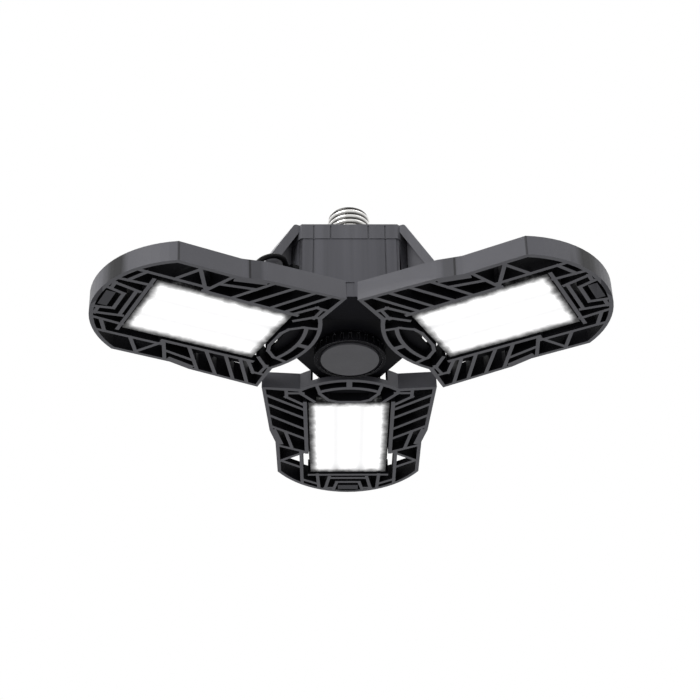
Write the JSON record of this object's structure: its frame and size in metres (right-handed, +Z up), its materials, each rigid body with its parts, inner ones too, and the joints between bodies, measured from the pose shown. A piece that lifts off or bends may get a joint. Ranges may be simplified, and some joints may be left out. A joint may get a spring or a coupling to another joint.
{
  "type": "three-panel deformable garage light",
  "caption": "Screw-in garage light with a driver housing and folding LED panels in slatted charcoal frames.",
  "frame": {"origin": "flat tip of the lamp cap's centre contact, where the lamp meets its socket", "axes": "+Z up along the lamp axis, out of the screw cap; the far panel lies towards +Y, the others towards -X and +X with -Y"},
  "size_m": [0.2798, 0.2555, 0.1187],
  "materials": {
    "nickel_plate": "bright nickel plate",
    "insulator": "glossy black",
    "dark_plastic": "satin charcoal",
    "black_plastic": "matte black",
    "grey_plastic": "satin grey",
    "dark_alloy": "die-cast, satin charcoal coat",
    "dark_steel": "dark coated steel",
    "steel": "zinc plated",
    "circuit_board": "solder mask",
    "winding": "enamelled wire",
    "black_rubber": "soft black",
    "white_board": "white solder mask",
    "phosphor": "light chips",
    "clear_cover": "clear moulded cover"
  },
  "bodies": {
    "hub": {"screw_shell": "nickel_plate", "cap_insulator": "insulator", "centre_contact": "nickel_plate", "cap_neck": "dark_plastic", "arm_crown": "dark_alloy", "crown_screws": "steel", "driver_housing": "dark_plastic", "housing_base": "black_plastic", "base_screws": "steel", "bottom_cap": "black_plastic", "bottom_disc": "grey_plastic", "driver_board": "circuit_board", "transformer": "winding", "capacitors": "black_plastic", "choke": "winding", "board_parts": "black_plastic", "board_posts": "steel", "housing_glands": "black_rubber", "far_lead": "black_rubber", "left_lead": "black_rubber", "right_lead": "black_rubber"},
    "far_panel": {"far_frame": "dark_alloy", "far_sheet": "black_plastic", "far_bracket": "dark_steel", "far_bracket_screws": "steel", "far_bolt": "steel", "far_nut": "steel", "far_washers": "steel", "far_heat_sink": "dark_alloy", "far_led_board": "white_board", "far_led_chips": "phosphor", "far_lens": "clear_cover", "far_board_screws": "steel", "far_gland": "black_rubber"},
    "left_panel": {"left_frame": "dark_alloy", "left_sheet": "black_plastic", "left_bracket": "dark_steel", "left_bracket_screws": "steel", "left_bolt": "steel", "left_nut": "steel", "left_washers": "steel", "left_heat_sink": "dark_alloy", "left_led_board": "white_board", "left_led_chips": "phosphor", "left_lens": "clear_cover", "left_board_screws": "steel", "left_gland": "black_rubber"},
    "right_panel": {"right_frame": "dark_alloy", "right_sheet": "black_plastic", "right_bracket": "dark_steel", "right_bracket_screws": "steel", "right_bolt": "steel", "right_nut": "steel", "right_washers": "steel", "right_heat_sink": "dark_alloy", "right_led_board": "white_board", "right_led_chips": "phosphor", "right_lens": "clear_cover", "right_board_screws": "steel", "right_gland": "black_rubber"}
  },
  "joints": [
    {"name": "far_hinge", "type": "hinge", "parent": "hub", "child": "far_panel", "pos_m": [0, 0.058, -0.08], "axis": [1, 0, 0], "range_deg": [-1, 96.5], "deforming": ["far_lead"]},
    {"name": "left_hinge", "type": "hinge", "parent": "hub", "child": "left_panel", "pos_m": [-0.05023, -0.029, -0.08], "axis": [-0.5, 0.866, 0], "range_deg": [-4, 93.5], "deforming": ["left_lead"]},
    {"name": "right_hinge", "type": "hinge", "parent": "hub", "child": "right_panel", "pos_m": [0.05023, -0.029, -0.08], "axis": [-0.5, -0.866, 0], "range_deg": [-6.5, 91], "deforming": ["right_lead"]}
  ]
}
